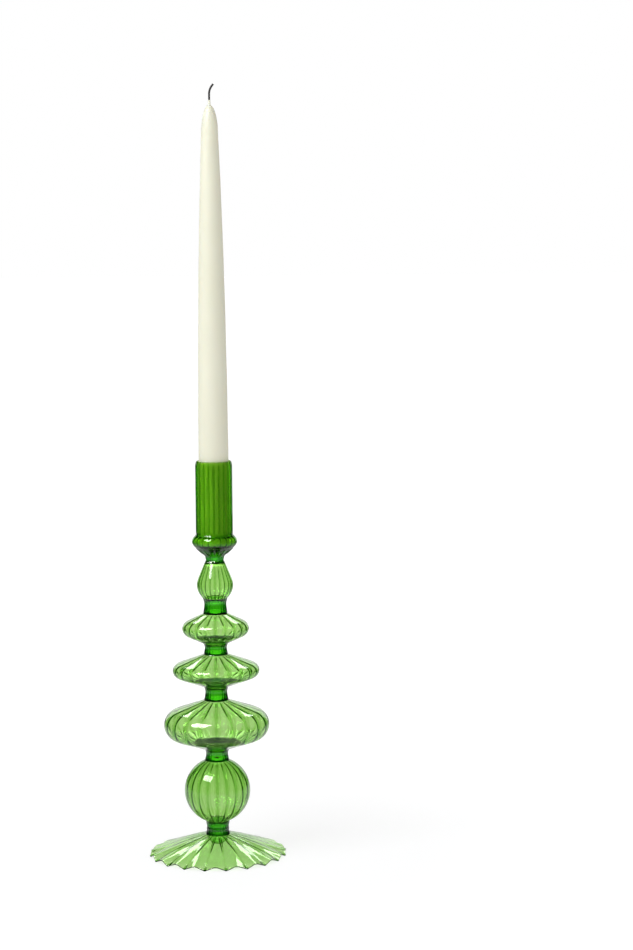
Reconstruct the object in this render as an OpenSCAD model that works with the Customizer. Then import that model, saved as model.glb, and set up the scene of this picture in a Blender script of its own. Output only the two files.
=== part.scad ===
// Candlestick of hollow ribbed glass, holding one dipped taper candle.
// From the table up: a flared foot skirt that stands on the tips of its ribs, a stem of five
// sealed bulbs joined by thick necks, a drip collar closed by a glass floor, and a candle cup.
// Millimetres, +Z up. The origin is on the table, under the middle of the foot.

/* [Ribs] */
// Ribs round the skirt, each bulb, the collar and the cup
rib_count = 20; // [16:2:24]
// Height of a rib above the bulb or the cup that carries it
rib_h = 0.45; // [0.3:0.05:0.6]
// Part of the circumference that the ribs of a bulb cover
rib_share = 0.2; // [0.12:0.02:0.28]

/* [Foot] */
// Radius over the tips of the skirt's ribs
foot_r = 50.5; // [48:0.5:54]
// Height of the skirt where the stem leaves it
foot_rise = 15.2; // [14:0.2:17]
// Thickness of the skirt between its ribs
skirt_wall = 1; // [0.8:0.1:1.2]
// How far the skirt bows above a straight cone
skirt_bow = 0.7; // [0:0.1:1]
// Width of one skirt rib
skirt_rib_w = 2; // [1.6:0.1:2.4]
// Height of the arch that the rim makes between two rib tips
scallop_rise = 2.8; // [2:0.2:3.2]
// Radius of the glass bead that seals the stem inside the skirt
seal_r = 7.8; // [7:0.2:8.4]
// How far the bead hangs below the skirt's crown
seal_drop = 7; // [5:0.5:7.5]

/* [Bulbs] */
// Thickness of the blown wall
bulb_wall = 1.3; // [1.1:0.1:1.6]
// Radius of the ball, the lowest bulb
ball_r = 24; // [23:0.2:26]
// Radius of the large disc
large_r = 38.3; // [37:0.1:41]
// Half of the large disc's height, from its middle to its mouth
large_half_h = 18.1; // [17.1:0.2:19.1]
// Roundness of the large disc's edge
large_edge_r = 11.2; // [10:0.2:13]
// Radius of the medium disc
medium_r = 31.5; // [30:0.1:34]
// Half of the medium disc's height
medium_half_h = 11.9; // [11.3:0.2:12.9]
// Roundness of the medium disc's edge
medium_edge_r = 5.2; // [4.6:0.2:7]
// Radius of the small disc
small_r = 24.1; // [23:0.1:26]
// Half of the small disc's height
small_half_h = 10.9; // [10.3:0.2:11.7]
// Roundness of the small disc's edge
small_edge_r = 6; // [5:0.2:7]
// Radius of the onion bulb, the highest of the five
onion_r = 13.1; // [12.7:0.1:14.1]
// Height of the onion bulb's pointed shoulder above its widest place
onion_rise = 16; // [15:0.5:18]

/* [Necks] */
// Waist radius of the neck above the foot
foot_neck_r = 7.8; // [7.4:0.1:8.4]
// Waist radius of the necks between the bulbs
stem_neck_r = 7.8; // [7.4:0.1:8.4]
// Waist radius of the neck under the drip collar
cup_neck_r = 6.3; // [6:0.1:7]
// How much wider a neck is at each end than at its waist
neck_flare = 1.2; // [0.8:0.1:1.4]
// Radius of the hollow inside the necks
neck_bore_r = 4.6; // [4:0.1:5]
// Length of the neck above the foot
foot_neck_l = 10.4; // [9:0.2:12]
// Length of the neck above the ball
ball_neck_l = 8.3; // [7.3:0.2:10.3]
// Length of the neck above the large disc
large_neck_l = 10; // [8:0.2:12]
// Length of the neck above the medium disc
medium_neck_l = 8.1; // [7.1:0.2:10.1]
// Length of the neck above the small disc
small_neck_l = 11.6; // [9:0.2:12.2]
// Length of the neck under the drip collar
cup_neck_l = 5.6; // [5:0.2:8]

/* [Cup] */
// Radius of the hole that the candle stands in
cup_bore_r = 11.7; // [11.5:0.1:12]
// Thickness of the cup between its ribs
cup_wall = 1.2; // [1.1:0.1:1.5]
// Length of the cup above the drip collar
cup_l = 52.8; // [46:0.2:60]
// Widest radius of the drip collar
collar_r = 16.6; // [16.2:0.1:17.2]
// Height of the drip collar
collar_h = 15.8; // [15.4:0.2:16.4]
// Height of the collar's widest place above its foot
collar_wide_h = 10.4; // [10:0.1:10.8]
// Roundness of the drip collar's shoulder
collar_edge_r = 4.6; // [4.2:0.1:5]
// Thickness of the glass floor under the candle
floor_t = 3; // [2.6:0.2:3.2]

/* [Candle] */
// Radius of the candle at its base
candle_r = 11; // [10.8:0.1:11.2]
// Length of the wax
candle_l = 316.6; // [200:0.2:340]
// Length of the rounded tip
candle_tip_l = 20; // [14:1:26]
// Part of the base radius that the long taper takes off
candle_taper = 0.45; // [0.3:0.05:0.5]
// Radius of the wick
wick_r = 0.9; // [0.8:0.1:1.2]
// Straight length of wick above the wax
wick_stub_l = 7.8; // [6:0.2:9]
// Radius of the wick's bend
wick_bend_r = 9.5; // [8:0.5:14]
// Angle of the wick's bend
wick_bend_deg = 40; // [20:5:60]
// Length of wick past the bend
wick_end_l = 2; // [1:0.2:4]

/* [Hidden] */
$fn = 120;

thin_green = "#b9e3a4";
bulb_green = "#79c552";
neck_green = "#2f9a1a";
cup_green = "#6cae2c";
ivory = "#ebe6d2";
charcoal = "#2b2724";

// Neighbouring ribs are this far apart. The skirt's ribs sit half a step round from the others.
rib_step = 360 / rib_count;
skirt_turn = rib_step / 2;
rib_deg = rib_step * rib_share;
// Where two round shapes merge, the smaller is this much proud, so that they cross cleanly.
merge = 0.12;
// Each length of wick above the wax starts this far inside the one below.
wick_sunk = 0.4;
// The ribs of a bulb start this far outside its mouth, and those of the skirt and the collar
// a little further.
rib_start = 0.6;
long_rib_start = 1;
// Cutters run this far past what they cut, and a cutter this wide reaches past every bulb.
past = 1;
wide = 2 * large_r;
// Clearance under the candle.
candle_gap = 0.1;
// How far a skirt rib stands above the skirt's top surface, and reaches below it.
rib_proud = 0.5;
rib_sunk = 0.7;
// Rounded end of a skirt rib: its radius, and how much of it the table cuts flat.
tip_r = 1;
tip_flat = 0.3;
// The rib thickens towards its tip over this length.
tip_blend = 3;
// The rim's scallops are cut through this much of the skirt.
rim_band = 10;
// The ribs of the cup stop this far below its lip.
lip_gap = 1;
// Height of the skirt's top surface at the rim, and the number of cones in its slope.
rim_z = 0.9;
skirt_steps = 5;
// Outline steps of the candle's taper and tip, and how late the taper sets in. The tip's curve
// stops at tip_deg, which leaves a small flat round the wick.
taper_steps = 8;
tip_steps = 7;
taper_power = 2.5;
tip_deg = 78;

// Outer radius of each neck end, which is also the mouth of the bulb that it meets.
foot_mouth = foot_neck_r + neck_flare;
stem_mouth = stem_neck_r + neck_flare;
cup_mouth = cup_neck_r + neck_flare;

// Height above a ball's middle at which its surface has radius r.
function sphere_z(r, big) = sqrt(big * big - r * r);

// Heights up the stem, each worked out from the one below.
ball_z0 = foot_rise + foot_neck_l;
ball_z = ball_z0 + sphere_z(foot_mouth, ball_r);
ball_z1 = ball_z + sphere_z(stem_mouth, ball_r);
large_z = ball_z1 + ball_neck_l + large_half_h;
medium_z = large_z + large_half_h + large_neck_l + medium_half_h;
small_z = medium_z + medium_half_h + medium_neck_l + small_half_h;
onion_z0 = small_z + small_half_h + small_neck_l;
onion_z = onion_z0 + sphere_z(stem_mouth, onion_r);
cup_neck_z = onion_z + onion_rise;
collar_z = cup_neck_z + cup_neck_l;
cup_z = collar_z + collar_h;

// The floor inside the collar narrows downwards and seals the stem below it.
floor_lift = 3.2;
floor_z = collar_z + floor_lift;
floor_low_r = 8.9;
candle_z = floor_z + floor_t + candle_gap;

// Top surface of the skirt at radius r: a cone with a slight bow.
function skirt_z(r) =
    let (t = (r - foot_mouth) / (foot_r - foot_mouth))
    foot_rise + (rim_z - foot_rise) * t + 4 * skirt_bow * t * (1 - t);
function skirt_line(drop, r0, r1) =
    [for (i = [0 : skirt_steps]) let (r = r0 + (r1 - r0) * i / skirt_steps) [r, skirt_z(r) - drop]];
function reversed(list) = [for (i = [len(list) - 1 : -1 : 0]) list[i]];

// Radius of the wax at height h above its base: a long taper.
function wax_r(h) = candle_r * (1 - candle_taper * pow(h / (candle_l - candle_tip_l), taper_power));
wax_points = concat(
    [for (i = [0 : taper_steps])
        let (h = (candle_l - candle_tip_l) * i / taper_steps) [wax_r(h), h]],
    [for (i = [1 : tip_steps])
        let (a = tip_deg * i / tip_steps, shoulder = wax_r(candle_l - candle_tip_l))
        [shoulder * cos(a), candle_l - candle_tip_l + candle_tip_l * sin(a) / sin(tip_deg)]]);

// Unit vector across the line that runs from a point at offset `from` to a circle of radius
// r and touches it: straight out of the circle where the two meet, on the side of `side`.
function touch(from, r, side) =
    let (a = atan2(from[1], from[0]) + side * acos(r / norm(from))) [cos(a), sin(a)];

// Half outline of a disc, grown outwards by a given amount: a cone above and one below a
// round edge.
module disc_half(reach, half_h, edge_r, grow) {
    middle_r = reach - edge_r;
    out = touch([stem_mouth - middle_r, half_h], edge_r, -1);
    down = [out[0], -out[1]];
    translate([middle_r, 0]) circle(edge_r + grow + merge);
    polygon([[0, half_h] + [0, grow * out[1]], [stem_mouth, half_h] + grow * out,
             [middle_r, 0] + (edge_r + grow) * out, [middle_r, 0] + (edge_r + grow) * down,
             [stem_mouth, -half_h] + grow * down, [0, -half_h - grow * out[1]]]);
}

// Half outline of a ball.
module ball_half(big, grow) {
    intersection() {
        circle(big + grow);
        translate([0, -2 * big]) square([2 * big, 4 * big]);
    }
}

// Half outline of the onion bulb: a ball whose top is drawn out to a cone.
module onion_half(grow) {
    out = touch([cup_mouth, onion_rise], onion_r, -1);
    ball_half(onion_r, grow);
    polygon([[0, 0], (onion_r + grow - merge) * out, [cup_mouth, onion_rise] + grow * out,
             [0, onion_rise + grow * out[1]]]);
}

// A blown shell with flat, open mouths below and above. children(0) is its half outline,
// children(1) the same outline at the inside of the wall.
module shell(low_z, high_z) {
    rotate_extrude() difference() {
        intersection() {
            children(0);
            translate([0, low_z]) square([wide, high_z - low_z]);
        }
        children(1);
        translate([0, low_z - past]) square([neck_bore_r, high_z - low_z + 2 * past]);
    }
}

// Ribs round a shell, from one mouth to the other. children(0) is the half outline over the
// ribs, children(1) one that lies inside the wall.
module ribs(low_z, high_z, mouth_r) {
    for (i = [0 : rib_count - 1]) {
        rotate([0, 0, -90 - rib_deg / 2 + i * rib_step]) rotate_extrude(angle = rib_deg) difference() {
            intersection() {
                children(0);
                translate([mouth_r + rib_start, low_z]) square([wide, high_z - low_z]);
            }
            children(1);
        }
    }
}

// One flattened bulb of the stem.
module disc(z, reach, half_h, edge_r) {
    translate([0, 0, z]) {
        shell(-half_h, half_h) {
            disc_half(reach, half_h, edge_r, 0);
            disc_half(reach, half_h, edge_r, -bulb_wall);
        }
        ribs(-half_h, half_h, stem_mouth) {
            disc_half(reach, half_h, edge_r, rib_h);
            disc_half(reach, half_h, edge_r, -bulb_wall / 2);
        }
    }
}

// A thick neck, waisted in the middle, with the stem's hollow through it.
module neck(z, length, waist_r) {
    hollow_r = (pow(length / 2, 2) + neck_flare * neck_flare) / (2 * neck_flare);
    translate([0, 0, z]) rotate_extrude() difference() {
        translate([neck_bore_r, 0]) square([waist_r + neck_flare - neck_bore_r, length]);
        translate([waist_r + hollow_r, length / 2]) circle(hollow_r);
    }
}

// One rib of the skirt: a bar that follows the slope and ends in a rounded tip on the table.
module skirt_rib() {
    start_r = foot_mouth + long_rib_start;
    end_r = foot_r - tip_r;
    blend_r = end_r - tip_blend;
    rotate([90, 0, 0]) linear_extrude(height = skirt_rib_w, center = true) {
        polygon(concat(skirt_line(-rib_proud, start_r, end_r),
                       reversed(skirt_line(rib_sunk, start_r, end_r))));
        intersection() {
            translate([end_r, tip_r - tip_flat]) circle(tip_r);
            square([2 * foot_r, foot_rise]);
        }
        polygon([[end_r, tip_r], [blend_r, skirt_z(blend_r) - rib_sunk / 2],
                 [end_r - tip_r / 2, skirt_z(end_r) + rib_proud / 2]]);
    }
}

module foot_skirt() {
    scallop_half_w = PI * foot_r / rib_count - skirt_rib_w;
    scallop_r = (pow(scallop_half_w, 2) + pow(scallop_rise, 2)) / (2 * scallop_rise);
    color(thin_green) {
        difference() {
            rotate_extrude() polygon(concat(
                [[0, foot_rise]],
                skirt_line(0, foot_mouth, foot_r - tip_r),
                reversed(skirt_line(skirt_wall, foot_mouth, foot_r - tip_r)),
                [[0, foot_rise - skirt_wall]]));
            for (i = [0 : rib_count - 1]) {
                rotate([0, 0, -90 + i * rib_step])
                    translate([foot_r - rim_band, 0, scallop_rise - scallop_r])
                    rotate([0, 90, 0]) cylinder(r = scallop_r, h = rim_band + past);
            }
        }
        for (i = [0 : rib_count - 1]) rotate([0, 0, skirt_turn - 90 + i * rib_step]) skirt_rib();
    }
}

module stem_seal() {
    bead_r = (seal_r * seal_r + seal_drop * seal_drop) / (2 * seal_drop);
    top_z = foot_rise - skirt_wall;
    color(neck_green) intersection() {
        translate([0, 0, top_z - seal_drop + bead_r]) sphere(bead_r);
        translate([0, 0, top_z - seal_drop - past]) cylinder(r = 2 * seal_r, h = seal_drop + past);
    }
}

module foot_neck() {
    color(neck_green) neck(foot_rise, foot_neck_l, foot_neck_r);
}

module ball() {
    color(bulb_green) translate([0, 0, ball_z]) {
        shell(ball_z0 - ball_z, ball_z1 - ball_z) {
            ball_half(ball_r, 0);
            ball_half(ball_r, -bulb_wall);
        }
        ribs(ball_z0 - ball_z, ball_z1 - ball_z, stem_mouth) {
            ball_half(ball_r, rib_h);
            ball_half(ball_r, -bulb_wall / 2);
        }
    }
}

module ball_neck() {
    color(neck_green) neck(ball_z1, ball_neck_l, stem_neck_r);
}

module large_disc() {
    color(bulb_green) disc(large_z, large_r, large_half_h, large_edge_r);
}

module large_disc_neck() {
    color(neck_green) neck(large_z + large_half_h, large_neck_l, stem_neck_r);
}

module medium_disc() {
    color(bulb_green) disc(medium_z, medium_r, medium_half_h, medium_edge_r);
}

module medium_disc_neck() {
    color(neck_green) neck(medium_z + medium_half_h, medium_neck_l, stem_neck_r);
}

module small_disc() {
    color(bulb_green) disc(small_z, small_r, small_half_h, small_edge_r);
}

module small_disc_neck() {
    color(neck_green) neck(small_z + small_half_h, small_neck_l, stem_neck_r);
}

module onion_bulb() {
    low_z = onion_z0 - onion_z;
    color(bulb_green) translate([0, 0, onion_z]) {
        shell(low_z, onion_rise) {
            onion_half(0);
            onion_half(-bulb_wall);
        }
        ribs(low_z, onion_rise, stem_mouth) {
            onion_half(rib_h);
            onion_half(-bulb_wall / 2);
        }
    }
}

module cup_neck() {
    color(neck_green) neck(cup_neck_z, cup_neck_l, cup_neck_r);
}

module cup_floor() {
    color(neck_green) translate([0, 0, floor_z])
        cylinder(r1 = floor_low_r, r2 = cup_bore_r, h = floor_t);
}

// Half outline of the collar: a round shoulder on a cone, with the cup's foot on top.
module collar_half(grow) {
    middle = [collar_r - collar_edge_r, collar_wide_h];
    out = touch([cup_mouth, 0] - middle, collar_edge_r, 1);
    translate(middle) circle(collar_edge_r + grow);
    polygon([[0, 0], [cup_mouth, 0] + grow * out, middle + (collar_edge_r + grow - merge) * out,
             middle, [cup_bore_r + cup_wall + grow, collar_wide_h],
             [cup_bore_r + cup_wall + grow, collar_h], [0, collar_h]]);
}

module drip_collar() {
    color(cup_green) translate([0, 0, collar_z]) {
        rotate_extrude() difference() {
            intersection() {
                collar_half(0);
                square([2 * collar_r, collar_h]);
            }
            translate([collar_r - collar_edge_r, collar_wide_h])
                circle(collar_edge_r - cup_wall);
            polygon([[0, -past], [neck_bore_r, -past], [neck_bore_r, 0], [floor_low_r, floor_lift],
                     [cup_bore_r, floor_lift + floor_t], [cup_bore_r, collar_h + past],
                     [0, collar_h + past]]);
        }
        for (i = [0 : rib_count - 1]) {
            rotate([0, 0, -90 - rib_deg / 2 + i * rib_step]) rotate_extrude(angle = rib_deg)
                difference() {
                    intersection() {
                        collar_half(rib_h);
                        translate([cup_mouth + long_rib_start, 0]) square([2 * collar_r, collar_h]);
                    }
                    collar_half(-cup_wall / 2);
                }
        }
    }
}

module candle_cup() {
    lip_r = cup_wall / 2;
    // The ribs start a third of the way into the wall.
    rib_sunk_t = cup_wall * 2 / 3;
    color(cup_green) translate([0, 0, cup_z]) {
        rotate_extrude() {
            translate([cup_bore_r, 0]) square([cup_wall, cup_l - lip_r]);
            translate([cup_bore_r + lip_r, cup_l - lip_r]) circle(lip_r);
        }
        for (i = [0 : rib_count - 1]) {
            rotate([0, 0, -90 - rib_deg / 2 + i * rib_step]) rotate_extrude(angle = rib_deg)
                translate([cup_bore_r + cup_wall - rib_sunk_t, 0])
                square([rib_sunk_t + rib_h, cup_l - lip_r - lip_gap]);
        }
    }
}

module candle_wax() {
    color(ivory) translate([0, 0, candle_z]) rotate_extrude()
        polygon(concat([[wick_r, 0]], wax_points, [[wick_r, candle_l]]));
}

module wick() {
    wax_top = candle_z + candle_l;
    color(charcoal) {
        translate([0, 0, candle_z]) cylinder(r = wick_r, h = candle_l + wick_stub_l);
        translate([wick_bend_r, 0, wax_top + wick_stub_l - wick_sunk]) rotate([90, 0, 0])
            mirror([1, 0, 0]) {
                rotate_extrude(angle = wick_bend_deg)
                    translate([wick_bend_r, 0]) circle(wick_r - merge);
                rotate([0, 0, wick_bend_deg]) translate([wick_bend_r, -wick_sunk, 0])
                    rotate([-90, 0, 0]) cylinder(r = wick_r - 2 * merge, h = wick_end_l + wick_sunk);
            }
    }
}

foot_skirt();
stem_seal();
foot_neck();
ball();
ball_neck();
large_disc();
large_disc_neck();
medium_disc();
medium_disc_neck();
small_disc();
small_disc_neck();
onion_bulb();
cup_neck();
cup_floor();
drip_collar();
candle_cup();
candle_wax();
wick();
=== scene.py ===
"""Looks of a ribbed green glass candlestick and its dipped taper candle.

Every glass part is blown or drawn glass, so each is turned here as a closed wall with its own
inside and outside, with narrow ribs, small ripples from the maker's tools, and glass that
darkens with its depth. Lengths are in metres, and sizes come from the frame where it has them.
"""

import math

import bmesh
import bpy
import numpy as np
from mathutils import Euler, Matrix, Vector


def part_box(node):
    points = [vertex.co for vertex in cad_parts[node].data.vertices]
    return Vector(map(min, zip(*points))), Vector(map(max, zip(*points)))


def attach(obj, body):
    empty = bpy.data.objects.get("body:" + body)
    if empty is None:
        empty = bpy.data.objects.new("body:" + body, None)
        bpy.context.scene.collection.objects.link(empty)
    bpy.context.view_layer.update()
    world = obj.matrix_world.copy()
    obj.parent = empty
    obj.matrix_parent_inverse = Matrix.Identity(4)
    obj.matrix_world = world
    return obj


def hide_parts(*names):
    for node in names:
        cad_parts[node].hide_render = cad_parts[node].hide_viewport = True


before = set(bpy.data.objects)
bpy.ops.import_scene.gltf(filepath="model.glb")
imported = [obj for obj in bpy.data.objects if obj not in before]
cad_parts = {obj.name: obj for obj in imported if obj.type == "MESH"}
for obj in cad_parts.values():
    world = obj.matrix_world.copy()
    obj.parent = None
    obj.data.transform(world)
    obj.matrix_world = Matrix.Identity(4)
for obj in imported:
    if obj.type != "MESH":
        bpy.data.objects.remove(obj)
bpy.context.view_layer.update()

MM = 0.001

# Camera: where the photographer stood, in the part's own frame.
CAMERA_AT = (0.0743, -1.6548, 0.4396)
CAMERA_DOWN_DEG = 5.55
CAMERA_ROLL_DEG = -0.45
SENSOR_MM = 36
LENS_MM = 87.158

# Ribs: as many round every ribbed piece.
RIBS = 20
PITCH = 2 * math.pi / RIBS
# Height of a full rib, and how much of it a bulb has outside and inside.
RIB_H = 0.45 * MM
OUTER_RIBS = 0.03
INNER_RIBS = 1.0
# Angle that one rib takes up, and half the width of a rib of the foot.
RIB_WIDTH_DEG = 9.0
NECK_RIB_WIDTH_DEG = 10
CUP_RIB_WIDTH_DEG = 6.5
SKIRT_RIB_HALF_W = 1.15 * MM
# Where the first rib stands.
RIB_TURN = math.radians(-88)
SKIRT_TURN = math.radians(-81)

# Thickness of the glass. A bulb's wall thickens to LIP at its mouths.
WALL = 0.6 * MM
DISC_WALL = 0.45 * MM
CUP_WALL = 0.8 * MM
SKIRT_WALL = 0.65 * MM
SEAL_WALL = 0.75 * MM
LIP = 1.1 * MM
# How far the ball's hollow lies below its outside's middle, so that its top is thicker.
BALL_DROP = 0.18 * MM
# Glass settled in a disc's bottom: its height as a share of the disc's half height, and how far
# it reaches out as a share of the way from the mouth to the disc's edge.
SETTLED = 0.27
HEEL = 0.36

# Necks: the radius of their bores and waists, and the height over which a bore opens into a bulb.
BORE = 4.6 * MM
CUP_NECK_BORE = 2.8 * MM
NECK_WAIST = 7.8 * MM
CUP_NECK_WAIST = 6.3 * MM
FUNNEL = 3.0 * MM

# Radius of each disc's rounded edge.
DISC_EDGES = {"large_disc": 11.2 * MM, "medium_disc": 5.2 * MM, "small_disc": 6.0 * MM}
# Drip collar: the radius of its bead, the height of its widest place and the glass round its
# hollow.
COLLAR_EDGE_R = 4.6 * MM
COLLAR_WIDE_H = 10.4 * MM
COLLAR_WALL = 1.2 * MM
# Radius of the cup's floor at its underside.
FLOOR_LOW_R = 8.9 * MM
# Space left between two pieces that touch, so that no two faces lie in one plane.
SEAM = 0.02 * MM
# Height of the ripples that working leaves in the glass, and of the ones left in the wax.
BULB_SWELL = 0.015 * MM
NECK_SWELL = 0.05 * MM
CUP_SWELL = 0.03 * MM
SKIRT_SWELL = 0.05 * MM
WAX_SWELL = 0.10 * MM

# Brightness of the room that the glass mirrors, the slightly cool light on the wax, and the
# height that the softboxes face.
ROOM = 0.03
KEY_COLOUR = (0.93, 0.965, 1.0)
STEM_MIDDLE = 0.12


def make_camera():
    """The camera, tilted a little down and rolled very slightly."""
    data = bpy.data.cameras.new("camera")
    data.sensor_width = SENSOR_MM
    data.lens = LENS_MM
    camera = bpy.data.objects.new("camera", data)
    camera.location = CAMERA_AT
    tilt = Euler((math.radians(90 - CAMERA_DOWN_DEG), 0, 0)).to_matrix()
    roll = Matrix.Rotation(math.radians(CAMERA_ROLL_DEG), 3, "Z")
    camera.rotation_euler = (tilt @ roll).to_euler()
    bpy.context.scene.collection.objects.link(camera)
    bpy.context.scene.camera = camera


make_camera()


# ---------------------------------------------------------------- outlines

def resampled(points, spacing):
    """The same polyline with its points evenly spaced, no further apart than spacing."""
    points = np.array(points, float)
    steps = np.linalg.norm(np.diff(points, axis=0), axis=1)
    along = np.concatenate([[0], np.cumsum(steps)])
    count = max(2, int(math.ceil(along[-1] / spacing)) + 1)
    at = np.linspace(0, along[-1], count)
    return np.stack([np.interp(at, along, points[:, k]) for k in (0, 1)], axis=1)


def softened(points, spacing, passes):
    """The polyline resampled, with its corners rounded a little more at each pass."""
    points = resampled(points, spacing)
    for _ in range(passes):
        points[1:-1] = (points[:-2] + 2 * points[1:-1] + points[2:]) / 4
    return points


def arc(centre, radius, start, end, steps):
    """Points of a circular arc, with its angles in radians."""
    angles = np.linspace(start, end, steps)
    return [(centre[0] + radius * math.cos(a), centre[1] + radius * math.sin(a)) for a in angles]


def touch_angle(offset, radius, side):
    """Angle at which the line from a point at this offset touches a circle of this radius."""
    return math.atan2(offset[1], offset[0]) + side * math.acos(radius / math.hypot(*offset))


def disc_side(mouth, half_h, reach, edge_r, grow):
    """Side of a disc from its lower mouth to its upper: a cone, a round edge and a cone."""
    middle = reach - edge_r
    out = touch_angle((mouth - middle, half_h), edge_r, -1)
    normal = np.array([math.cos(out), math.sin(out)])
    top = np.array([mouth, half_h]) + grow * normal
    low = top * (1, -1)
    return [low, *arc((middle, 0), edge_r + grow, -out, out, steps=40), top]


def ball_side(radius, low_r, high_r):
    """Side of a ball from its lower mouth to its upper."""
    return arc((0, 0), radius, -math.acos(low_r / radius), math.acos(high_r / radius), steps=60)


def onion_side(radius, rise, low_r, high_r, grow):
    """Side of the onion bulb: a ball whose top is drawn out to a cone."""
    out = touch_angle((high_r, rise), radius, -1)
    normal = np.array([math.cos(out), math.sin(out)])
    tip = np.array([high_r, rise]) + grow * normal
    size = radius + grow
    return [*arc((0, 0), size, -math.acos(low_r / size), out, steps=40), tip]


# ---------------------------------------------------------------- meshes

# Where the columns stand across a rib, and across the panel between two ribs.
RIB_SAMPLES = np.linspace(-1, 1, 9)
PANEL_SAMPLES = np.linspace(0, 1, 6)[1:-1]
# Shortest length of a ripple up the glass, and the radius under which ripples fade out.
RIPPLE_LENGTH = 14 * MM
RIPPLE_FADE_R = 10 * MM


def columns(half_widths, turn):
    """Angles and rib heights, 0 to 1, of each column at each row, with more columns over the
    ribs. half_widths gives half a rib's angle at each row."""
    half = np.asarray(half_widths, float)[:, None]
    angles, heights = [], []
    for rib in range(RIBS):
        centre = turn + rib * PITCH
        angles.append(centre + half * RIB_SAMPLES[None, :])
        heights.append(np.broadcast_to(np.cos(RIB_SAMPLES * math.pi / 2) ** 2,
                                       (len(half), len(RIB_SAMPLES))))
        panel = centre + half + (PITCH - 2 * half) * PANEL_SAMPLES[None, :]
        angles.append(panel)
        heights.append(np.zeros_like(panel))
    return np.concatenate(angles, axis=1), np.concatenate(heights, axis=1)


def grid_object(name, points, closed):
    """A mesh object from a grid of points that is closed round its columns, and round its
    rows too if closed. Points that meet on the axis are joined."""
    rows, cols = points.shape[:2]
    mesh = bpy.data.meshes.new(name)
    last = rows if closed else rows - 1
    quads = []
    for i in range(last):
        below, above = i * cols, (i + 1) % rows * cols
        quads.extend((below + j, below + (j + 1) % cols, above + (j + 1) % cols, above + j)
                     for j in range(cols))
    mesh.from_pydata(points.reshape(-1, 3).tolist(), [], quads)
    work = bmesh.new()
    work.from_mesh(mesh)
    bmesh.ops.remove_doubles(work, verts=work.verts, dist=1e-7)
    bmesh.ops.recalc_face_normals(work, faces=work.faces)
    work.to_mesh(mesh)
    work.free()
    mesh.shade_smooth()
    mesh.set_sharp_from_angle(angle=math.radians(50))
    piece = bpy.data.objects.new(name, mesh)
    bpy.context.scene.collection.objects.link(piece)
    return piece


def stand_in(piece, body, node, material):
    """Shows a piece in place of a CAD node, riding on a body."""
    piece.data.materials.append(material)
    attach(piece, body)
    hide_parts(node)


def ripple(angle, height, size, seed):
    """Small uneven swells of hand-worked glass, in metres, smooth all the way round."""
    draw = np.random.default_rng(seed)
    total = np.zeros(np.broadcast(angle, height).shape)
    for turns in (1, 2, 3, 5, 8):
        phase, lean = draw.uniform(0, 2 * math.pi), draw.uniform(-1, 1)
        wave = 2 * math.pi * lean / RIPPLE_LENGTH
        total = total + np.sin(turns * angle + wave * height + phase) / turns
    return total * size / 2


def eased(share):
    """A share from 0 to 1, with a smooth start and end."""
    return share * share * (3 - 2 * share)


def turned(node, outline, weights, base_z, material, seed, closed=True, swell=0.0,
           rib_deg=RIB_WIDTH_DEG):
    """A glass piece turned from an outline, with ribs where the weights say, in place of a
    CAD node."""
    outline, weights = np.array(outline, float), np.array(weights, float)
    slope = np.gradient(outline, axis=0)
    length = np.maximum(np.linalg.norm(slope, axis=1), 1e-9)
    normal = np.stack([slope[:, 1], -slope[:, 0]], axis=1) / length[:, None]
    half = np.full(len(outline), math.radians(rib_deg / 2))
    angles, ribs = columns(half, RIB_TURN)
    lift = ribs * RIB_H * weights[:, None]
    radius = outline[:, :1] + lift * normal[:, :1]
    height = outline[:, 1:] + lift * normal[:, 1:]
    radius = radius + ripple(angles, height, swell, seed) * np.minimum(1, radius / RIPPLE_FADE_R)
    points = np.stack([radius * np.cos(angles), radius * np.sin(angles),
                       height + base_z], axis=2)
    piece = grid_object(node + "_glass", points, closed)
    stand_in(piece, "holder", node, material)
    return piece


# ---------------------------------------------------------------- materials

class Nodes:
    """Short names for making the nodes of a material or a world."""

    def __init__(self, owner, shader):
        owner.use_nodes = True
        self.tree = owner.node_tree
        self.shader = self.tree.nodes[shader]
        self.coordinates = self.tree.nodes.new("ShaderNodeTexCoord").outputs
        self.place = self.coordinates["Object"]

    def node(self, kind, **settings):
        """A new node with these properties or input values."""
        made = self.tree.nodes.new(kind)
        for key, value in settings.items():
            if hasattr(made, key):
                setattr(made, key, value)
            else:
                made.inputs[key.replace("_", " ")].default_value = value
        return made

    def link(self, source, target):
        self.tree.links.new(source, target)

    def noise(self, scale, stretch=(1, 1, 1), detail=2.0):
        """Noise over the piece, stretched along its axes."""
        mapping = self.node("ShaderNodeMapping")
        mapping.inputs["Scale"].default_value = stretch
        self.link(self.place, mapping.inputs["Vector"])
        made = self.node("ShaderNodeTexNoise", Scale=scale, Detail=detail, Roughness=0.5)
        self.link(mapping.outputs["Vector"], made.inputs["Vector"])
        return made.outputs["Fac"]

    def ranged(self, value, low, high, to_low, to_high):
        """The value carried from one range over to another, and held at its ends."""
        made = self.node("ShaderNodeMapRange", From_Min=low, From_Max=high, To_Min=to_low,
                         To_Max=to_high)
        self.link(value, made.inputs["Value"])
        return made.outputs["Result"]

    def mixed(self, factor, first, second):
        """A colour between two colours."""
        made = self.node("ShaderNodeMix", data_type="RGBA")
        made.inputs["A"].default_value = (*first, 1)
        made.inputs["B"].default_value = (*second, 1)
        self.link(factor, made.inputs["Factor"])
        return made.outputs["Result"]

    def bump(self, value, distance, under=None):
        """Surface relief of this height, on top of the relief under it if there is one."""
        made = self.node("ShaderNodeBump", Strength=1.0, Distance=distance)
        self.link(value, made.inputs["Height"])
        if under is not None:
            self.link(under, made.inputs["Normal"])
        return made.outputs["Normal"]


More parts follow.
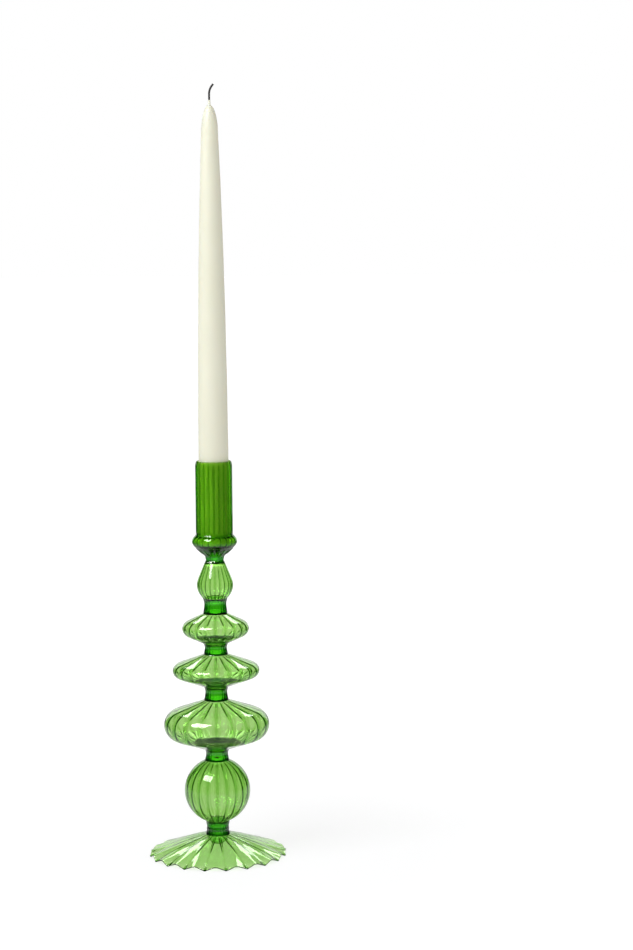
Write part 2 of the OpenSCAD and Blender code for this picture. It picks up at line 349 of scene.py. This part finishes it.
def new_material(name):
    """A new material, and the means of making its nodes."""
    material = bpy.data.materials.new(name)
    return material, Nodes(material, "Principled BSDF")


def glass_material(name, density, tint, ripple_scale, ripple_depth, streak=(1, 1, 0.15)):
    """Clear green glass with faint streaks and a hand-worked surface. A metre of it takes
    density times one less the tint from the log of the light."""
    material, n = new_material(name)
    streaks = n.noise(220, streak, detail=3)
    n.link(n.mixed(n.ranged(streaks, 0.35, 0.65, 0, 1), (0.97, 0.995, 0.96), (1, 1, 1)),
           n.shader.inputs["Base Color"])
    smears = n.noise(60, (1, 1, 0.4), detail=2)
    n.link(n.ranged(smears, 0.4, 0.8, 0.03, 0.05), n.shader.inputs["Roughness"])
    n.shader.inputs["IOR"].default_value = 1.48
    n.shader.inputs["Transmission Weight"].default_value = 1
    worked = n.noise(ripple_scale, (1, 1, 0.6), detail=1)
    n.link(n.bump(worked, ripple_depth), n.shader.inputs["Normal"])
    depth = n.node("ShaderNodeVolumeAbsorption", Density=density)
    depth.inputs["Color"].default_value = (*tint, 1)
    n.link(depth.outputs["Volume"], n.tree.nodes["Material Output"].inputs["Volume"])
    return material


# The bulbs and the foot, then the necks, the cup's floor and the seal, then the cup.
blown = glass_material("blown_glass", 2170, (0.57, 0.805, 0.28), 90, 0.006 * MM)
drawn = glass_material("drawn_glass", 1100, (0.52, 0.84, 0.24), 420, 0.08 * MM, (1, 1, 0.4))
cup_glass = glass_material("cup_glass", 2400, (0.60, 0.84, 0.05), 90, 0.006 * MM)


# ---------------------------------------------------------------- glass pieces

def size_of(node):
    """Middle height, half height and outer radius of a CAD node, from its box."""
    low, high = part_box(node)
    return (low.z + high.z) / 2, (high.z - low.z) / 2, high.x


# Radius at which the necks meet the bulbs: under the ball, between bulbs, and under the cup.
MOUTHS = {node: size_of(node)[2] for node in ("foot_neck", "ball_neck", "cup_neck")}


def faded(points, mouth, over):
    """Rib weight of each point of an outline: none at the mouth, full further out."""
    return eased(np.clip((np.array(points)[:, 0] - mouth) / over, 0, 1))


def with_seams(side):
    """A piece's side, a little shorter at both ends to leave the seams free."""
    side[0, 1] += SEAM
    side[-1, 1] -= SEAM
    return side


def shell(name, outside, inside, middle, seed):
    """A blown bulb: its outside from mouth to mouth, and its inside back again."""
    outside = with_seams(softened(outside, spacing=1.0 * MM, passes=2))
    (low_r, low_z), (high_r, high_z) = outside[0], outside[-1]
    inside = np.array(inside)
    below = inside[:, 1] < (low_z + high_z) / 2
    lip = np.where(below, low_r, high_r) - LIP
    step = 0.2 * MM
    inside[:, 1] = np.clip(inside[:, 1], low_z + step, high_z - step)
    inside = [(low_r - LIP, low_z), *inside[inside[:, 0] > lip], (high_r - LIP, high_z)]
    inside = softened(inside, spacing=1.2 * MM, passes=1)[::-1]
    outline = [*outside, *inside]
    weights = [*(OUTER_RIBS * faded(outside, low_r, over=2.5 * MM)),
               *(INNER_RIBS * faded(inside, min(low_r, high_r) - LIP, over=3 * MM))]
    turned(name, outline, weights, middle, blown, swell=BULB_SWELL, seed=seed)


def make_disc(name, seed):
    """A flat bulb whose inside is higher at its bottom, where glass has settled."""
    middle, half_h, reach = size_of(name)
    reach = reach - RIB_H
    mouth = MOUTHS["ball_neck"]
    outside = disc_side(mouth, half_h, reach, DISC_EDGES[name], grow=0)
    inside = disc_side(mouth, half_h, reach, DISC_EDGES[name], grow=-DISC_WALL)
    inside = resampled(inside, spacing=0.8 * MM)
    heel = (reach - mouth) * HEEL
    share = np.clip((mouth + heel - inside[:, 0]) / heel, 0, 1)
    inside[:, 1] += SETTLED * half_h * eased(share) * (inside[:, 1] < 0)
    shell(name, outside, inside, middle, seed)


def make_ball(seed):
    """The round bulb, with its hollow a little low in it."""
    low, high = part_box("ball")
    radius = high.x - RIB_H
    mouth = MOUTHS["foot_neck"]
    middle = low.z + math.sqrt(radius ** 2 - mouth ** 2)
    outside = ball_side(radius, mouth, MOUTHS["ball_neck"])
    inside = np.array(ball_side(radius - WALL, BORE, BORE)) - (0, BALL_DROP)
    shell("ball", outside, inside, middle, seed)


def make_onion(seed):
    """The small bulb that is drawn out to a cone at its top."""
    low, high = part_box("onion_bulb")
    radius = high.x - RIB_H
    low_r, high_r = MOUTHS["ball_neck"], MOUTHS["cup_neck"]
    middle = low.z + math.sqrt(radius ** 2 - low_r ** 2)
    rise = high.z - middle
    outside = onion_side(radius, rise, low_r, high_r, grow=0)
    inside = onion_side(radius, rise, low_r, high_r, grow=-WALL)
    shell("onion_bulb", outside, inside, middle, seed)


def make_neck(name, waist, rings, seed, below=FUNNEL, above=FUNNEL, bore_r=BORE):
    """A thick neck, drawn in at its waist, with faint rings where it was worked. Its bore opens
    into the bulb below and the bulb above over these heights."""
    middle, half_h, mouth = size_of(name)
    flare = mouth - waist
    hollow = (half_h ** 2 + flare ** 2) / (2 * flare)
    end = math.asin(half_h / hollow)
    side = arc((waist + hollow, 0), hollow, math.pi + end, math.pi - end, steps=40)
    side = with_seams(resampled(side, spacing=0.5 * MM))
    share = np.linspace(0, 1, len(side))
    ring_h = 0.18 * MM
    side[:, 0] += ring_h * np.sin(share * math.pi) * np.sin(share * 2 * math.pi * rings)
    bore = []
    for depth, face_z, sign in ((above, side[-1, 1], -1), (below, side[0, 1], 1)):
        opening = mouth - LIP - bore_r if depth else 0
        turns = np.linspace(0, math.pi / 2, 8)[::sign * -1]
        bore += [(bore_r + opening * (1 - math.sin(t)), face_z + sign * depth * (1 - math.cos(t)))
                 for t in turns]
    bore = resampled(bore, spacing=0.8 * MM)
    outline = [*side, *bore]
    # Half ribs outside, fading out at both ends, and a plain bore.
    weights = [*(0.5 * np.sin(share * math.pi) ** 0.5), *np.zeros(len(bore))]
    turned(name, outline, weights, middle, drawn, swell=NECK_SWELL, seed=seed,
           rib_deg=NECK_RIB_WIDTH_DEG)


def make_cup(seed):
    """The candle cup and the drip collar under it, which are blown in one."""
    low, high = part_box("drip_collar")
    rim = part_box("candle_cup")[1]
    height = rim.z - low.z
    cup = rim.x - RIB_H
    bore = cup - CUP_WALL
    lip = CUP_WALL / 2
    mouth = MOUTHS["cup_neck"]
    middle = (high.x - RIB_H - COLLAR_EDGE_R, COLLAR_WIDE_H)
    start = touch_angle((mouth - middle[0], -middle[1]), COLLAR_EDGE_R, 1)
    top = math.acos((cup - middle[0]) / COLLAR_EDGE_R)
    # Outside: the collar runs 5 mm up into the cup's side, and the rim is rounded.
    shoulder = [(mouth, SEAM), *arc(middle, COLLAR_EDGE_R, start, top, steps=30),
                (cup, high.z - low.z), (cup, high.z - low.z + 5 * MM)]
    shoulder = softened(shoulder, spacing=0.6 * MM, passes=14)
    side = resampled([(cup, shoulder[-1][1]), (cup, height - lip)], spacing=2.5 * MM)[1:]
    rounded = arc((bore + lip, height - lip), lip, 0, math.pi, steps=9)[1:-1]
    # Inside: straight down to 3 mm above the collar's hollow, then past the floor to the neck.
    hollow = COLLAR_EDGE_R - COLLAR_WALL
    turn = math.acos((bore - middle[0]) / hollow)
    inside_top = middle[1] + hollow * math.sin(turn)
    back = resampled([(bore, height - lip), (bore, inside_top + 3 * MM)], spacing=2.5 * MM)
    floor_low, floor_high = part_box("cup_floor")
    inside = [back[-1], *arc(middle, hollow, turn, -turn, steps=20),
              (floor_high.x, floor_high.z - low.z), (FLOOR_LOW_R, floor_low.z - low.z), (BORE, SEAM)]
    inside = softened(inside, spacing=0.8 * MM, passes=1)[1:]
    outline = [*shoulder, *side, *rounded, *back, *inside]
    # The bead is almost smooth outside. The ribs end just under the rim.
    blend, rim_gap, inner_ribs = 0.5 * MM, 2 * MM, 0.8
    smooth_bead = 0.05 + 0.95 * np.clip((cup + blend - shoulder[:, 0]) / blend, 0, 1)
    weights = [*(faded(shoulder, mouth, over=2.5 * MM) * smooth_bead),
               *np.clip((height - lip - side[:, 1]) / rim_gap, 0, 1),
               *np.zeros(len(rounded)),
               *(inner_ribs * np.clip((height - lip - back[:, 1]) / rim_gap, 0, 1)),
               *(inner_ribs * np.clip((inside[:, 0] - bore) / (0.8 * MM), 0, 1))]
    piece = turned("candle_cup", outline, weights, low.z, cup_glass, swell=CUP_SWELL, seed=seed,
                   rib_deg=CUP_RIB_WIDTH_DEG)
    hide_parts("drip_collar")


def make_floor(seed):
    """The floor of the cup, a plug of glass with rounded edges."""
    low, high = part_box("cup_floor")
    gap = 0.05 * MM
    round_w, round_h = 0.5 * MM, 0.3 * MM
    thick = high.z - low.z
    low_r, high_r = FLOOR_LOW_R - gap, high.x - gap
    outline = [(0, 0), (low_r - round_w, 0), (low_r, round_h), (high_r, thick - round_h),
               (high_r - round_w, thick), (0, thick)]
    outline = softened(outline, spacing=0.7 * MM, passes=1)
    outline[0, 0] = outline[-1, 0] = 0
    turned("cup_floor", outline, np.zeros(len(outline)), low.z, drawn, closed=False, seed=seed)


def make_seal(seed):
    """The rounded end of the stem inside the foot, with a few shallow dents round it."""
    low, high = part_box("stem_seal")
    drop, reach = high.z - low.z, high.x
    bead = (reach ** 2 + drop ** 2) / (2 * drop)
    end = math.acos(min(1, (bead - drop) / bead))
    side = [(bead * math.sin(a), bead - bead * math.cos(a)) for a in np.linspace(0, end, 24)]
    side[-1] = (reach, drop - SEAM)
    side = np.array(side)
    share = np.linspace(0, 1, len(side))
    dent, dents = 0.03, 7
    side[:, 0] *= 1 - dent * np.sin(share * math.pi * dents) ** 2 * np.sin(share * math.pi)
    hollow = side * (1 - SEAL_WALL / np.array([reach, drop])) + (0, SEAL_WALL)
    outline = [*side, *hollow[::-1]]
    turned("stem_seal", outline, np.zeros(len(outline)), low.z, drawn, closed=False, seed=seed)


def make_skirt():
    """The foot: a pleated cone that stands on the rounded tips of its ribs, with its rim
    arched between them and melted round."""
    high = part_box("foot_skirt")[1]
    crown_z = high.z
    crown_r = MOUTHS["foot_neck"]
    foot_r = (high.x - SKIRT_RIB_HALF_W * math.sin(PITCH / 2)) / math.cos(PITCH / 2)
    # How far the skirt bows up, and at its rim: its height, the arch between two ribs, how far
    # the arch draws the rim in, and the round that ends it.
    bow, rim_z, rise, drawn_in, tip = 1.2 * MM, 0.9 * MM, 2.1 * MM, 0.9 * MM, 0.9 * MM
    # Ribs on top, ribs underneath, and the knobs that end them above and below.
    rib_top, rib_under, knob_top, knob_under = 0.15 * MM, 0.6 * MM, 0.6 * MM, 0.5 * MM
    end_r = foot_r - tip
    rows = np.linspace(0, 1, 44)
    radii = crown_r + (end_r - crown_r) * rows
    # Near the crown the ribs are narrower, so that they don't run together.
    half = np.minimum(SKIRT_RIB_HALF_W / radii, PITCH * 0.3)
    crown = np.linspace(0.02, 0.9, 7) * crown_r
    all_radii = np.concatenate([crown, radii])
    half = np.concatenate([np.full(len(crown), half[0]), half])
    angles, ribs = columns(half, SKIRT_TURN)
    share = np.clip((all_radii - crown_r) / (end_r - crown_r), 0, 1)[:, None]
    surface = crown_z + (rim_z - crown_z) * share + 4 * bow * share * (1 - share)
    between = (1 - np.cos((angles - SKIRT_TURN) * RIBS)) / 2
    arch = between * rise * share ** 4
    # The ribs start over the first 4 mm, then sink to a quarter. The knobs are near the rim.
    grown = np.clip((all_radii - crown_r) / (4 * MM), 0, 1)[:, None]
    low_ribs = grown * (1 - 0.75 * np.clip((share - 0.25) / 0.35, 0, 1))
    knobs = ribs * np.clip((share - 0.9) / 0.07, 0, 1)
    proud = ribs * rib_top * low_ribs + knobs * knob_top
    sunk = ribs * rib_under * low_ribs + knobs * knob_under
    swell = ripple(angles, surface, SKIRT_SWELL, seed=7) * share
    top = surface + arch + proud + swell
    under = surface + arch - SKIRT_WALL - sunk + swell
    pull = 1 - between * share ** 6 * drawn_in / foot_r
    lowest, thinnest = 0.02 * MM, 0.3 * MM
    under = np.maximum(under, lowest)
    top = np.maximum(top, under + thinnest)
    out = all_radii[:, None] * pull
    middle = (top[-1] + under[-1]) / 2
    thick = (top[-1] - under[-1]) / 2
    # The rim is melted round, a little flatter than a half circle.
    bead_rows, flat = [], 0.95
    for a in np.linspace(math.pi / 2, -math.pi / 2, 9)[1:-1]:
        bead_rows.append((out[-1] + thick * math.cos(a) * flat, middle + thick * math.sin(a)))
    radius = np.concatenate([out, [b[0] for b in bead_rows], out[::-1]])
    height = np.concatenate([top, [b[1] for b in bead_rows], under[::-1]])
    angle = np.concatenate([angles, np.repeat(angles[-1:], len(bead_rows), 0), angles[::-1]])
    radius[0] = radius[-1] = 0
    points = np.stack([radius * np.cos(angle), radius * np.sin(angle), height], axis=2)
    points[0, :, 2] = points[0, 0, 2]
    points[-1, :, 2] = points[-1, 0, 2]
    piece = grid_object("foot_skirt_glass", points, False)
    stand_in(piece, "holder", "foot_skirt", blown)


make_skirt()
make_seal(seed=2)
make_ball(seed=3)
for number, disc in enumerate(DISC_EDGES):
    make_disc(disc, seed=10 + number)
make_onion(seed=4)
make_neck("foot_neck", NECK_WAIST, rings=3, seed=21, below=0)
for number, neck in enumerate(("ball_neck", "large_disc_neck", "medium_disc_neck",
                               "small_disc_neck")):
    make_neck(neck, NECK_WAIST, rings=1, seed=22 + number)
make_neck("cup_neck", CUP_NECK_WAIST, rings=2, seed=26, above=0, bore_r=CUP_NECK_BORE)
make_floor(seed=5)
make_cup(seed=8)


# ---------------------------------------------------------------- candle

def wax_material():
    """Ivory wax, a little cloudy, with the waves and grain of dipping."""
    material, n = new_material("ivory_wax")
    cloud = n.noise(28, (1, 1, 0.35), detail=3)
    n.link(n.mixed(n.ranged(cloud, 0.3, 0.7, 0, 1), (0.79, 0.775, 0.615), (0.84, 0.825, 0.675)),
           n.shader.inputs["Base Color"])
    n.shader.inputs["Subsurface Weight"].default_value = 0.35
    n.shader.inputs["Subsurface Radius"].default_value = (1.0, 0.85, 0.65)
    n.shader.inputs["Subsurface Scale"].default_value = 4 * MM
    bloom = n.noise(160, (1, 1, 0.5), detail=3)
    n.link(n.ranged(bloom, 0.3, 0.7, 0.36, 0.52), n.shader.inputs["Roughness"])
    n.shader.inputs["Specular IOR Level"].default_value = 0.45
    dips = n.noise(70, (1, 1, 0.2), detail=1)
    grain = n.noise(1400, detail=2)
    n.link(n.bump(grain, 0.01 * MM, under=n.bump(dips, 0.12 * MM)), n.shader.inputs["Normal"])
    return material


def make_candle():
    """The dipped taper: a plain base, a side that thins towards a round tip, and the wick's
    wax."""
    low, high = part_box("candle_wax")
    inset = 0.05 * MM
    base_r = high.x - inset
    length = high.z - low.z
    tip_l = 20 * MM
    body_l = length - tip_l
    taper, taper_power = 0.45, 2.5
    side = [(base_r * (1 - taper * (h / body_l) ** taper_power), h)
            for h in np.linspace(0, body_l, 110)]
    shoulder = side[-1][0]
    steep = math.radians(79)
    angles = np.linspace(0, 1, 26)[1:] * steep
    top = [(shoulder * math.cos(a), body_l + tip_l * math.sin(a) / math.sin(steep))
           for a in angles]
    # Wax drawn up round the wick: its radii and its heights above the tip, in millimetres.
    nib = [(1.02, 0.4), (0.95, 1.2), (0.9, 2.2), (0.86, 3.4)]
    top += [(r * MM, length + rise * MM) for r, rise in nib]
    edge = 0.5 * MM
    # A slightly hollow base with a rounded edge.
    base = [(0, 0.1 * MM), (base_r * 0.3, 0.05 * MM), (base_r * 0.7, 0), (base_r - edge * 1.5, 0),
            (base_r - edge * 0.5, 0.15 * MM), (base_r - 0.1 * MM, edge)]
    outline = np.array([*base, *side[1:], *top, (0, top[-1][1])])
    turns = np.linspace(0, 2 * math.pi, 97)[:-1][None, :]
    radius, height = outline[:, :1], outline[:, 1:]
    # Long waves left by dipping, which fade out at the tip and stop at the base.
    stretch, fade_r = 0.35, 5 * MM
    dips = ripple(turns * np.ones_like(height), height * stretch, WAX_SWELL, seed=31)
    radius = radius + dips * np.minimum(1, radius / fade_r) * (height > edge)
    radius = np.minimum(radius, base_r)
    points = np.stack([radius * np.cos(turns), radius * np.sin(turns),
                       np.broadcast_to(height + low.z, radius.shape)], axis=2)
    piece = grid_object("taper_candle", points, False)
    stand_in(piece, "candle", "candle_wax", wax_material())


make_candle()


def wick_material(wax_top):
    """Cotton, waxed near the candle and charred above."""
    material, n = new_material("wick_cotton")
    split = n.node("ShaderNodeSeparateXYZ")
    n.link(n.place, split.inputs["Vector"])
    char = n.noise(900, (1, 1, 0.6), detail=4)
    waxed_h, charred_h = 2.4 * MM, 4.2 * MM
    charred = n.ranged(split.outputs["Z"], wax_top + waxed_h, wax_top + charred_h, 0, 1)
    black = n.mixed(char, (0.012, 0.011, 0.010), (0.055, 0.050, 0.046))
    mix = n.node("ShaderNodeMix", data_type="RGBA")
    mix.inputs["A"].default_value = (0.78, 0.74, 0.60, 1)
    n.link(black, mix.inputs["B"])
    n.link(charred, mix.inputs["Factor"])
    n.link(mix.outputs["Result"], n.shader.inputs["Base Color"])
    n.link(n.ranged(char, 0.3, 0.7, 0.7, 0.95), n.shader.inputs["Roughness"])
    n.link(n.bump(char, 0.08 * MM), n.shader.inputs["Normal"])
    return material


def make_wick():
    """Three strands laid round each other, straight up out of the wax and then bent over."""
    wax_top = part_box("candle_wax")[1].z
    # Radius of a strand, of the circle that it goes round, and the length of one turn.
    strand_r, lay_r, lay = 0.42 * MM, 0.40 * MM, 3.4 * MM
    # Its straight stub, its bend and its end, and how deep it starts in the wax.
    stub, bend_r, bend, end = 7.8 * MM, 9.5 * MM, math.radians(40), 1.2 * MM
    sunk = 6 * MM
    route = [Vector((0, 0, wax_top - sunk + s)) for s in np.linspace(0, sunk + stub, 24)]
    for a in np.linspace(0, bend, 14)[1:]:
        route.append(Vector((bend_r * (1 - math.cos(a)), 0, wax_top + stub + bend_r * math.sin(a))))
    along = Vector((math.sin(bend), 0, math.cos(bend)))
    route += [route[-1] + along * s for s in np.linspace(0, end, 4)[1:]]
    strands, sides = 3, 8
    verts, faces = [], []
    for strand in range(strands):
        first = len(verts)
        along_route = 0.0
        for i, point in enumerate(route):
            along_route += (point - route[i - 1]).length if i else 0
            ahead = (route[min(i + 1, len(route) - 1)] - route[max(i - 1, 0)]).normalized()
            side = Vector((0, 1, 0))
            out = side.cross(ahead).normalized()
            turn = 2 * math.pi * (along_route / lay + strand / strands)
            centre = point + (out * math.cos(turn) + side * math.sin(turn)) * lay_r
            for k in range(sides):
                b = 2 * math.pi * k / sides
                verts.append(centre + (out * math.cos(b) + side * math.sin(b)) * strand_r)
        rings = len(route)
        for i in range(rings - 1):
            for k in range(sides):
                a, b = first + i * sides + k, first + i * sides + (k + 1) % sides
                faces.append((a, b, b + sides, a + sides))
        faces.append([first + k for k in range(sides)][::-1])
        faces.append([first + (rings - 1) * sides + k for k in range(sides)])
    mesh = bpy.data.meshes.new("wick_strands")
    mesh.from_pydata([tuple(v) for v in verts], [], faces)
    mesh.shade_smooth()
    mesh.set_sharp_from_angle(angle=math.radians(60))
    piece = bpy.data.objects.new("wick_strands", mesh)
    bpy.context.scene.collection.objects.link(piece)
    stand_in(piece, "candle", "wick", wick_material(wax_top))


make_wick()


# ---------------------------------------------------------------- studio

def by_ray(n, plain, clear, mirrored):
    """Brightness for each kind of ray: plain lights the wax, clear is what is seen directly
    or through glass, and mirrored is what glass mirrors."""
    rays = n.node("ShaderNodeLightPath")
    straight = n.node("ShaderNodeMath", operation="MAXIMUM")
    n.link(rays.outputs["Is Camera Ray"], straight.inputs[0])
    n.link(rays.outputs["Is Transmission Ray"], straight.inputs[1])
    result = plain
    mirror = rays.outputs["Is Glossy Ray"]
    for factor, value in ((mirror, mirrored), (straight.outputs[0], clear)):
        mix = n.node("ShaderNodeMix", data_type="FLOAT")
        n.link(factor, mix.inputs["Factor"])
        for socket, source in (("A", result), ("B", value)):
            if isinstance(source, float):
                mix.inputs[socket].default_value = source
            else:
                n.link(source, mix.inputs[socket])
        result = mix.outputs["Result"]
    return result


def make_ground():
    """A pale table."""
    half = 40
    mesh = bpy.data.meshes.new("ground")
    mesh.from_pydata([(-half, -half, 0), (half, -half, 0), (half, half, 0), (-half, half, 0)],
                     [], [(0, 1, 2, 3)])
    ground = bpy.data.objects.new("ground", mesh)
    bpy.context.scene.collection.objects.link(ground)
    material, n = new_material("white_table")
    # Painted reflection: as the glass mirrors it, the table's colour is as dark as the room.
    n.link(by_ray(n, 0.25, 0.25, ROOM), n.shader.inputs["Base Color"])
    n.shader.inputs["Roughness"].default_value = 0.9
    n.shader.inputs["Specular IOR Level"].default_value = 0.1
    distance = n.node("ShaderNodeVectorMath", operation="LENGTH")
    n.link(n.place, distance.inputs[0])
    away = distance.outputs["Value"]
    # The table glows, which is painted light. Seen directly the glow is weaker near the object:
    # painted shade where its shadow lies. As the glass mirrors it, it fades out further away.
    clear = n.ranged(away, 0.15, 0.6, 0.82, 0.97)
    mirrored = n.ranged(away, 0.3, 1.1, 0.8, ROOM)
    n.link(by_ray(n, 0.8, clear, mirrored), n.shader.inputs["Emission Strength"])
    # Painted light: under the foot the table's glow is tinted green, as if lit through the green
    # glass.
    n.link(n.mixed(n.ranged(away, 0.035, 0.05, 0, 1), (0.72, 0.90, 0.62), (1, 1, 1)),
           n.shader.inputs["Emission Color"])
    ground.data.materials.append(material)


def make_world():
    """A white surround up to some way above the horizon, and a dim ceiling over it."""
    world = bpy.data.worlds.new("studio")
    bpy.context.scene.world = world
    n = Nodes(world, "Background")
    split = n.node("ShaderNodeSeparateXYZ")
    n.link(n.coordinates["Generated"], split.inputs["Vector"])
    height = split.outputs["Z"]
    low, high = math.sin(math.radians(20)), math.sin(math.radians(28))
    plain = n.ranged(height, low, high, 0.8, 0.3)
    clear = n.ranged(height, low, high, 1.0, ROOM / 2)
    n.link(by_ray(n, plain, clear, ROOM), n.shader.inputs["Strength"])
    n.shader.inputs["Color"].default_value = (1, 1, 1, 1)


def softbox(name, azimuth, elevation, distance, size, radiance, mirrored):
    """A softbox seen from the object at this azimuth (0 is the camera's side, positive is to
    its right) and elevation in degrees, facing the middle of the stem. It lights the wax and
    the table, or else, if mirrored, it is only seen in and through the glass."""
    data = bpy.data.lights.new(name, "AREA")
    data.shape = "RECTANGLE"
    data.size, data.size_y = size
    data.energy = radiance * math.pi * size[0] * size[1]
    light = bpy.data.objects.new(name, data)
    a, e = math.radians(azimuth), math.radians(elevation)
    toward = Vector((math.sin(a) * math.cos(e), -math.cos(a) * math.cos(e), math.sin(e)))
    light.location = Vector((0, 0, STEM_MIDDLE)) + toward * distance
    light.rotation_euler = toward.to_track_quat("Z", "Y").to_euler()
    if not mirrored:
        data.color = KEY_COLOUR
    light.visible_camera = False
    light.visible_diffuse = not mirrored
    light.visible_glossy = light.visible_transmission = mirrored
    bpy.context.scene.collection.objects.link(light)


make_ground()
make_world()
softbox("key", azimuth=-47, elevation=50, distance=1.6, size=(0.89, 0.80), radiance=5.5,
        mirrored=False)
softbox("key_glint", azimuth=-47, elevation=50, distance=1.5, size=(0.83, 0.75), radiance=18.0,
        mirrored=True)
softbox("rim_glint", azimuth=180, elevation=40, distance=1.8, size=(1.3, 0.32), radiance=6.0,
        mirrored=True)
softbox("backdrop", azimuth=180, elevation=9, distance=1.9, size=(2.2, 0.8), radiance=1.0,
        mirrored=True)

settings = bpy.context.scene.cycles
settings.max_bounces = 32
settings.transmission_bounces = 32
settings.glossy_bounces = 12
settings.diffuse_bounces = 4
bpy.context.scene.view_settings.view_transform = "Standard"
